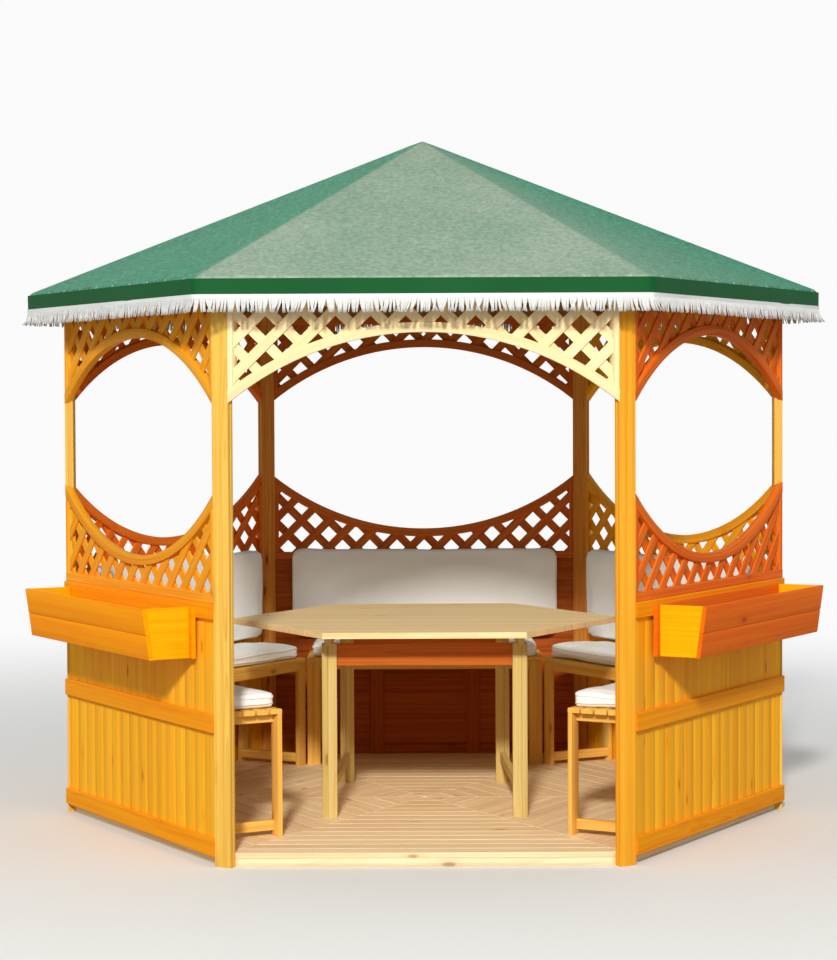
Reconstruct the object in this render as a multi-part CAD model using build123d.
from build123d import *
import math
import os

# Sizes, in millimetres. The origin is the middle of the hexagon, on the ground. The open side faces -Y.

# Plan and posts
post_circle = 1500.0        # middle of the floor to the middle of each post
post_width = 72.0           # broad face, square to the radius
post_depth = 35.0           # narrow face, along the radius
groove_width = 8.0          # groove down the middle of each narrow face
groove_depth = 5.0
tongue_clearance = 0.5      # all round a panel's tongue, in the groove
joint_gap = 0.3             # between two timbers that are fixed together

# Floor
floor_frame_height = 32.0
floor_rim_thickness = 25.0
floor_joist_width = 45.0
floor_joist_count = 5
floor_board_thickness = 20.0
floor_wall_gap = 2.0        # floor edge to the inside of the wall boards

# Wall panels
wall_clearance = 35.0       # ground to the bottom rail
wall_height = 950.0
wall_board_thickness = 14.0
wall_rail_thickness = 16.0
bottom_rail_height = 70.0
middle_rail_height = 70.0
middle_rail_centre = 500.0  # above the bottom of the panel
top_rail_height = 60.0
back_batten_width = 62.0    # two battens inside the back wall
back_batten_thickness = 12.0
back_batten_offset = 230.0

# Arched lattice panels: eleven of one pattern, the lower ones upside down
lattice_height = 400.0      # at the posts
lattice_waist = 145.0       # at the middle, under the crown of the arch
lattice_rim = 38.0
lattice_rail = 35.0
lattice_stile = 18.0
lattice_frame_depth = 32.0
slat_width = 39.0
slat_thickness = 8.0
slat_pitch = 130.0          # along the rail, between slats that run the same way
slat_level = 185.0          # below the rail's outer edge, where the slats' middles are set out
arch_drop = 54.0            # top of the upper panels below the rafters, at the posts
arch_flats = 72             # short flats to a full turn, which the arches are drawn in

# Roof
eave_overhang = 182.0       # posts' middle to the corners of the cover's fold
eave_height = 2196.0
roof_rise = 644.0
cover_thickness = 4.0
valance_height = 128.0      # band and fringe together
seam_gap = 0.4
rafter_width = 40.0
rafter_depth = 60.0
eave_rail_thickness = 25.0
eave_rail_height = 62.0
crown_flat = 62.0           # middle of the crown block to each of its flats
crown_height = 110.0

# Planters
planter_corner_gap = 145.0  # each end of the front board to the corner of the plan, less the offset
planter_offset = 34.0       # away from the open side
planter_height = 196.0
planter_drop = 19.0         # below the top of the wall panel
planter_foot = 182.0        # front to back, at the bottom
planter_flare = 28.0        # more at the top
planter_board = 16.0
planter_back_lap = 20.0     # back board past each end board

# Benches
bench_slat_count = 6
bench_slat_width = 50.0
bench_slat_gap = 8.0
bench_slat_thickness = 20.0
bench_height = 498.0        # above the floor
bench_wall_gap = 16.0
bench_corner_gap = 5.0      # to the mitre line between two benches
bench_leg_width = 60.0
bench_leg_thickness = 18.0
bench_rail_height = 35.0
bench_rail_thickness = 20.0
bench_foot_rail_height = 40.0
bench_foot_rail_lift = 20.0

# Cushions
seat_pad_thickness = 62.0
seat_pad_corner_gap = 12.0
seat_pad_radius = 40.0
back_pad_corner_gap = 105.0
back_pad_height = 436.0
back_pad_thickness = 60.0
back_pad_radius = 45.0
pad_gap = 0.5

# Table
table_radius = 812.0        # middle to the corners
table_height = 768.0        # above the floor
table_board_thickness = 25.0
table_front_spread = 386.0  # middle to the front legs, across
table_back_spread = 344.0   # middle to the back legs, across
table_leg_front = 500.0     # middle to the front legs, lengthwise
table_leg_back = 430.0      # middle to the back legs, lengthwise
table_leg_width = 60.0
table_leg_depth = 45.0
table_batten_width = 26.0
table_batten_height = 36.0
table_batten_length = 1180.0
table_apron_height = 90.0
table_apron_thickness = 20.0
table_foot_rail_height = 40.0
table_foot_rail_lift = 92.0

# Worked out from the sizes above
cos30 = math.cos(math.pi / 6)
sin30 = math.sin(math.pi / 6)
tan30 = sin30 / cos30
apothem = post_circle * cos30
side_length = post_circle
floor_top = floor_frame_height + joint_gap + floor_board_thickness
panel_middle = post_width / 2 * sin30           # a panel's middle plane, outside the posts' line
board_inside = panel_middle - wall_board_thickness / 2
board_outside = panel_middle + wall_board_thickness / 2
rail_outside = board_outside + wall_rail_thickness
wall_top = wall_clearance + wall_height
eave_circle = post_circle + eave_overhang
eave_apothem = eave_circle * cos30
roof_apex = eave_height + roof_rise
hip_slope = roof_rise / eave_circle
gore_slope = roof_rise / eave_apothem
cover_drop = cover_thickness * math.hypot(1, gore_slope)
planter_length = side_length - 2 * planter_corner_gap
bench_top = floor_top + bench_height
bench_depth = bench_slat_count * bench_slat_width + (bench_slat_count - 1) * bench_slat_gap
bench_back = board_inside - bench_wall_gap
bench_front = bench_back - bench_depth
bench_half = side_length / 2 + bench_front * tan30 - bench_corner_gap
back_pad_length = side_length - 2 * back_pad_corner_gap
table_top = floor_top + table_height

side_names = ["front", "front_right", "back_right", "back", "back_left", "front_left"]
side_turns = {name: 60 * step for step, name in enumerate(side_names)}
walled_sides = [side for side in side_turns if side != "front"]
back_sides = ["back_left", "back", "back_right"]
planter_sides = {"front_left": -1, "front_right": 1}
post_names = ["front_left", "front_right", "right", "back_right", "back_left", "left"]
post_turns = {name: 60 * step - 30 for step, name in enumerate(post_names)}


def hip_height(radius):
    """Height of the cover's hip line at a distance from the middle."""
    return roof_apex - hip_slope * radius


def rafter_underside(radius):
    """Height of a hip rafter's lower edge at a distance from the middle."""
    return hip_height(radius) - cover_drop - joint_gap - rafter_depth


def turn(degrees, part):
    """Turn a part about the upright axis through the middle of the floor."""
    return Rot(0, 0, degrees) * part


def prism(points, low, high):
    """Stand an outline drawn in plan up between two heights."""
    outline = make_face(Polyline(*points, close=True))
    return Pos(0, 0, low) * extrude(outline, amount=high - low, dir=(0, 0, 1))


def plank(profile, width):
    """Carry a profile of (y, z) points sideways, centred on x = 0."""
    outline = make_face(Polyline(*[(0, y, z) for y, z in profile], close=True))
    return extrude(outline, amount=width / 2, dir=(1, 0, 0), both=True)


def block(across, out, up):
    """A box on the front side from its limits: along the side, out from the posts' line, and upwards."""
    size = (across[1] - across[0], out[1] - out[0], up[1] - up[0])
    middle = ((across[0] + across[1]) / 2, -(apothem + (out[0] + out[1]) / 2), (up[0] + up[1]) / 2)
    return Pos(*middle) * Box(*size)


def wedge(radius, gap, low, high):
    """The sixth of the plan in front of the middle, out to a radius, short of its neighbours by half a gap."""
    tip = -gap / 2 / sin30
    reach = -radius * cos30
    half = (tip - reach) * tan30
    return prism([(0, tip), (-half, reach), (half, reach)], low, high)


def post_point(radial, tangential):
    """A point of the front side's right-hand post: out along its radius, and in towards the panel."""
    across = side_length / 2 + radial * sin30 - tangential * cos30
    out = radial * cos30 + tangential * sin30
    return (across, -(apothem + out))


def panel_half(out):
    """Half a panel's length where it lies this far outside the posts' line."""
    return side_length / 2 - (post_width / 2 + joint_gap - out * sin30) / cos30


def panel_plan(inner, outer, low, high):
    """A panel's block, with its ends cut to lie along the posts' narrow faces."""
    points = [(-panel_half(inner), -(apothem + inner)), (panel_half(inner), -(apothem + inner)),
              (panel_half(outer), -(apothem + outer)), (-panel_half(outer), -(apothem + outer))]
    return prism(points, low, high)


def tongues(low, high):
    """The two tongues that slide down the posts' grooves at a panel's ends."""
    half = groove_width / 2 - tongue_clearance
    tip = post_width / 2 - groove_depth + tongue_clearance
    root = post_width / 2 + joint_gap + slat_thickness
    corners = [post_point(-half, tip), post_point(half, tip), post_point(half, root), post_point(-half, root)]
    right = prism(corners, low, high)
    left = prism([(-x, y) for x, y in corners], low, high)
    return right + left


def post():
    """One post on the -Y axis, grooved for the panels and cut to the slope of its rafter."""
    top = rafter_underside(0)
    column = Pos(0, -post_circle, top / 2) * Box(post_width, post_depth, top)
    for side in (-1, 1):
        groove = Box(2 * groove_depth, groove_width, top)
        column -= Pos(side * post_width / 2, -post_circle, top / 2) * groove
    reach = 2 * post_circle
    seat = [(0, 0), (0, rafter_underside(0) - joint_gap), (-reach, rafter_underside(reach) - joint_gap),
            (-reach, 0)]
    return column & plank(seat, 2 * post_width)


def wall_panel(inside_battens):
    """Boards on three rails, with tongues at both ends; the back wall has two battens inside."""
    boards = panel_plan(board_inside, board_outside, wall_clearance, wall_top)
    rails = [(wall_clearance, wall_clearance + bottom_rail_height),
             (wall_clearance + middle_rail_centre - middle_rail_height / 2,
              wall_clearance + middle_rail_centre + middle_rail_height / 2),
             (wall_top - top_rail_height, wall_top)]
    panel = boards + tongues(wall_clearance, wall_top)
    for low, high in rails:
        panel += panel_plan(board_outside, rail_outside, low, high)
    if inside_battens:
        for side in (-1, 1):
            middle = side * back_batten_offset
            across = (middle - back_batten_width / 2, middle + back_batten_width / 2)
            out = (board_inside - back_batten_thickness, board_inside)
            panel += block(across, out, (floor_top + joint_gap, wall_top))
    return panel


def lattice_panel():
    """The arched panel on the front side, its straight rail on top at height 0 and the arch under it."""
    length = 2 * panel_half(panel_middle)
    rise = lattice_height - lattice_waist
    radius = ((length / 2) ** 2 + rise ** 2) / (2 * rise)
    centre = Pos(0, -lattice_waist - radius)

    def under_arch(up):
        return centre * RegularPolygon(radius + up, arch_flats)

    whole = Pos(0, -lattice_height / 2) * Rectangle(length + slat_width, lattice_height)
    outline = whole - under_arch(0)
    field = Pos(0, -lattice_rail - lattice_height / 2) * Rectangle(length - 2 * lattice_stile, lattice_height)
    frame = outline - (field - under_arch(lattice_rim))
    bedded = Pos(0, -lattice_rail / 2 - lattice_height / 2)
    bedded = bedded * Rectangle(length - lattice_stile, lattice_height) - under_arch(lattice_rim / 2)
    inner = panel_middle - lattice_frame_depth / 2
    outer = panel_middle + lattice_frame_depth / 2
    layers = [(frame, inner, outer)]
    count = math.ceil((length + lattice_height) / slat_pitch / 2)
    for lean, start in ((1, panel_middle), (-1, panel_middle - slat_thickness)):
        slats = Sketch()
        for step in range(-count, count + 1):
            place = Pos((step + 0.5) * slat_pitch, -slat_level) * Rot(0, 0, lean * 45)
            slats += place * Rectangle(3 * lattice_height, slat_width)
        layers.append((slats & bedded, start, start + slat_thickness))
    panel = Part()
    for sketch, start, end in layers:
        upright = Plane(origin=(0, -(apothem + start), 0), x_dir=(1, 0, 0), z_dir=(0, -1, 0))
        panel += extrude(upright * sketch, amount=end - start)
    panel &= panel_plan(inner, outer, -lattice_height, 0)
    return panel + (tongues(-lattice_height, 0) & lattice_ends())


def lattice_ends():
    """The space beyond a lattice panel's stiles, where its tongues stay."""
    half = panel_half(panel_middle)
    reach = side_length
    right = block((half - lattice_stile / 2, reach), (-reach, reach), (-lattice_height, 0))
    left = block((-reach, lattice_stile / 2 - half), (-reach, reach), (-lattice_height, 0))
    return right + left


def floor_plan(outset):
    """The floor's outline moved out: a hexagon along the walls, cut off inside the posts."""
    walls = RegularPolygon((apothem + board_inside - floor_wall_gap + outset) / cos30, 6)
    posts = RegularPolygon((post_circle - post_depth / 2 - joint_gap + outset) / cos30, 6, rotation=30)
    return walls & posts


def floor_boards():
    """The floor in one slab; its boards are laid in six sectors."""
    return Pos(0, 0, floor_frame_height + joint_gap) * extrude(floor_plan(0), amount=floor_board_thickness)


def floor_frame():
    """Six rim boards on the ground round joists that run across."""
    ring = extrude(floor_plan(0) - floor_plan(-floor_rim_thickness), amount=floor_frame_height)
    rim = ring & wedge(2 * post_circle, seam_gap, 0, floor_frame_height)
    pieces = [turn(degrees, rim) for degrees in side_turns.values()]
    inside = extrude(floor_plan(-floor_rim_thickness - joint_gap), amount=floor_frame_height)
    pitch = 2 * apothem / (floor_joist_count + 1)
    for step in range(floor_joist_count):
        offset = (step - (floor_joist_count - 1) / 2) * pitch
        joist = Pos(0, offset, floor_frame_height / 2) * Box(3 * post_circle, floor_joist_width,
                                                            floor_frame_height)
        pieces.append(joist & inside)
    return pieces


def roof_core(drop):
    """The solid space under the cover, lowered by a drop measured straight down."""
    reach = 2 * eave_apothem
    under = [(reach, 0), (reach, roof_apex - drop + gore_slope * reach),
             (-reach, roof_apex - drop - gore_slope * reach), (-reach, 0)]
    core = plank(under, 4 * reach)
    for degrees in list(side_turns.values())[1:]:
        core &= turn(degrees, plank(under, 4 * reach))
    return core


def gore():
    """The front one of the cover's six gores, from the apex to the fold at the eaves."""
    sheet = [(0, roof_apex), (-eave_apothem, eave_height), (-eave_apothem, eave_height - cover_drop),
             (0, roof_apex - cover_drop)]
    return plank(sheet, 2 * eave_circle) & wedge(eave_circle, seam_gap, 0, roof_apex)


def valance(core):
    """The strip that hangs from the fold on the front side."""
    strip = Pos(0, -eave_apothem + cover_thickness / 2, eave_height - valance_height / 2)
    strip = strip * Box(2 * eave_circle, cover_thickness, valance_height)
    return strip & wedge(eave_circle, seam_gap, 0, roof_apex) & core


def eave_rail(core):
    """The rail inside the valance that the cover is fastened to."""
    outer = eave_apothem - cover_thickness - joint_gap
    middle = -outer + eave_rail_thickness / 2
    rail = Pos(0, middle, eave_height - eave_rail_height / 2)
    rail = rail * Box(2 * eave_circle, eave_rail_thickness, eave_rail_height)
    return rail & wedge(eave_circle, seam_gap, 0, roof_apex) & core


def rafter(degrees, core):
    """A hip rafter from the crown block to the inner corner of the eave rails, backed to the cover."""
    start = crown_flat + joint_gap
    corner = (eave_apothem - cover_thickness - joint_gap - eave_rail_thickness) / cos30
    end = corner - rafter_width / 2 * tan30 - joint_gap
    side = [(-start, hip_height(start)), (-end, hip_height(end)), (-end, rafter_underside(end)),
            (-start, rafter_underside(start))]
    return turn(degrees, plank(side, rafter_width)) & core


def crown(core):
    """The six-sided block that the rafters meet at."""
    top = hip_height(0)
    low = rafter_underside(crown_flat) - crown_height + rafter_depth
    hexagon = RegularPolygon(crown_flat / cos30, 6, rotation=30)
    return Pos(0, 0, low) * extrude(hexagon, amount=top - low) & core


def planter(shift):
    """An open trough of five boards, hung on the outside of a wall panel's top rail."""
    back = rail_outside + joint_gap
    high = wall_top - planter_drop
    low = high - planter_height
    half = planter_length / 2
    foot = back + planter_foot
    lip = foot + planter_flare
    lean = planter_flare / planter_height
    skin = planter_board * math.hypot(1, lean)

    def yz(out, height):
        return (-(apothem + out), height)

    front = [yz(foot, low), yz(lip, high), yz(lip - skin, high), yz(foot - skin, low)]
    inner = [yz(back + planter_board + joint_gap, low), yz(foot - skin - joint_gap, low),
             yz(lip - skin - joint_gap, high), yz(back + planter_board + joint_gap, high)]
    end = plank(inner, planter_board)
    edge = half - planter_board / 2
    floor_top_edge = foot - skin + lean * planter_board - joint_gap
    bottom = [yz(back + planter_board + joint_gap, low), yz(foot - skin - joint_gap, low),
              yz(floor_top_edge, low + planter_board), yz(back + planter_board + joint_gap, low + planter_board)]
    pieces = [plank(front, planter_length),
              block((-half - planter_back_lap, half + planter_back_lap), (back, back + planter_board), (low, high)),
              Pos(edge, 0, 0) * end, Pos(-edge, 0, 0) * end,
              plank(bottom, planter_length - 2 * planter_board - 2 * joint_gap)]
    return [Pos(shift * planter_offset, 0, 0) * piece for piece in pieces]


def bench():
    """A slatted seat on two end frames with flat legs, tied by a rail under the front slat."""
    under = bench_top - bench_slat_thickness - joint_gap
    foot = floor_top + joint_gap
    pieces = []
    for step in range(bench_slat_count):
        near = bench_front + step * (bench_slat_width + bench_slat_gap)
        pieces.append(block((-bench_half, bench_half), (near, near + bench_slat_width),
                            (bench_top - bench_slat_thickness, bench_top)))
    front_leg = (bench_front, bench_front + bench_leg_thickness)
    back_leg = (bench_back - bench_leg_thickness, bench_back)
    between = (front_leg[1] + joint_gap, back_leg[0] - joint_gap)
    foot_rail = foot + bench_foot_rail_lift
    for side in (-1, 1):
        outer = side * bench_half
        leg = sorted((outer, outer - side * bench_leg_width))
        rail = sorted((outer, outer - side * bench_rail_thickness))
        pieces += [block(leg, front_leg, (foot, under)), block(leg, back_leg, (foot, under)),
                   block(rail, between, (under - bench_rail_height, under)),
                   block(rail, between, (foot_rail, foot_rail + bench_foot_rail_height))]
    reach = bench_half - bench_leg_width - joint_gap
    pieces.append(block((-reach, reach), front_leg, (under - bench_rail_height, under)))
    return pieces


def seat_pad():
    """A seat cushion's plain solid, with round corners in plan."""
    back = board_inside - back_batten_thickness - pad_gap
    half = side_length / 2 + bench_front * tan30 - seat_pad_corner_gap
    low = bench_top + pad_gap
    pad = block((-half, half), (bench_front, back), (low, low + seat_pad_thickness))
    return fillet(pad.edges().filter_by(Axis.Z), radius=seat_pad_radius)


def back_pad():
    """A back cushion's plain solid, stood on the seat cushion against the wall."""
    back = board_inside - back_batten_thickness - pad_gap
    low = bench_top + pad_gap + seat_pad_thickness + pad_gap
    pad = block((-back_pad_length / 2, back_pad_length / 2), (back - back_pad_thickness, back),
                (low, low + back_pad_height))
    return fillet(pad.edges().filter_by(Axis.Y), radius=back_pad_radius)


def table_board():
    """The six-sided table top."""
    top = RegularPolygon(table_radius, 6)
    return Pos(0, 0, table_top - table_board_thickness) * extrude(top, amount=table_board_thickness)


def table_frame():
    """Two trestles of legs, batten and foot rail, closer together at the back, tied by two aprons."""
    under = table_top - table_board_thickness - joint_gap
    leg_top = under - table_batten_height - joint_gap
    foot = floor_top + joint_gap
    foot_rail = foot + table_foot_rail_lift
    toe_in = (table_front_spread - table_back_spread) / (table_leg_front + table_leg_back)

    def beam(across, along, up):
        size = (across[1] - across[0], along[1] - along[0], up[1] - up[0])
        middle = ((across[0] + across[1]) / 2, (along[0] + along[1]) / 2, (up[0] + up[1]) / 2)
        return Pos(*middle) * Box(*size)

    def lengthwise(side, start, end, low, high):
        half = table_batten_width / 2
        plan = [(side * (table_front_spread - toe_in * (along + table_leg_front)) + edge, along)
                for along, edge in ((start, -half), (start, half), (end, half), (end, -half))]
        return prism(plan, low, high)

    depth = table_leg_depth / 2
    ends = [(-table_leg_front, table_front_spread), (table_leg_back, table_back_spread)]
    pieces = []
    for side in (-1, 1):
        pieces += [lengthwise(side, -table_batten_length / 2, table_batten_length / 2,
                              under - table_batten_height, under),
                   lengthwise(side, depth + joint_gap - table_leg_front, table_leg_back - depth - joint_gap,
                              foot_rail, foot_rail + table_foot_rail_height)]
        for along, spread in ends:
            leg = (side * spread - table_leg_width / 2, side * spread + table_leg_width / 2)
            pieces.append(beam(leg, (along - depth, along + depth), (foot, leg_top)))
    for along, spread in ends:
        inner = spread - table_leg_width / 2 - joint_gap
        pieces.append(beam((-inner, inner), (along - table_apron_thickness / 2, along + table_apron_thickness / 2),
                           (leg_top - table_apron_height, leg_top)))
    return pieces


def save(name, shape):
    """Write one node as a STEP file, its pieces as separate solids."""
    pieces = shape if isinstance(shape, list) else [shape]
    solids = [solid for piece in pieces for solid in piece.solids()]
    export_step(Compound(children=solids), f"parts/{name}.step")


def main():
    os.makedirs("parts", exist_ok=True)
    column = post()
    for name, degrees in post_turns.items():
        save(f"post_{name}", turn(degrees, column))
    panel = lattice_panel()
    arch_top = rafter_underside(post_circle + post_depth / 2) - arch_drop
    upper = Pos(0, 0, arch_top) * panel
    lower = Pos(0, 0, wall_top + joint_gap) * Rot(0, 180, 0) * panel
    for name, degrees in side_turns.items():
        save(f"arch_{name}", turn(degrees, upper))
    plain_wall = wall_panel(False)
    battened_wall = wall_panel(True)
    seat = seat_pad()
    form = bench()
    for name in walled_sides:
        degrees = side_turns[name]
        save(f"lattice_{name}", turn(degrees, lower))
        save(f"wall_{name}", turn(degrees, battened_wall if name == "back" else plain_wall))
        save(f"bench_{name}", [turn(degrees, piece) for piece in form])
        save(f"seat_cushion_{name}", turn(degrees, seat))
    for name in back_sides:
        save(f"back_cushion_{name}", turn(side_turns[name], back_pad()))
    for name, shift in planter_sides.items():
        save(f"planter_{name}", [turn(side_turns[name], piece) for piece in planter(shift)])
    save("floor_boards", floor_boards())
    save("floor_frame", floor_frame())
    core = roof_core(cover_drop + joint_gap)
    save("roof_cover", [turn(degrees, gore()) for degrees in side_turns.values()])
    save("roof_valance", [turn(degrees, valance(core)) for degrees in side_turns.values()])
    save("eave_rails", [turn(degrees, eave_rail(core)) for degrees in side_turns.values()])
    save("roof_rafters", [rafter(degrees, core) for degrees in post_turns.values()])
    save("roof_crown", crown(core))
    save("table_top", table_board())
    save("table_frame", table_frame())


main()
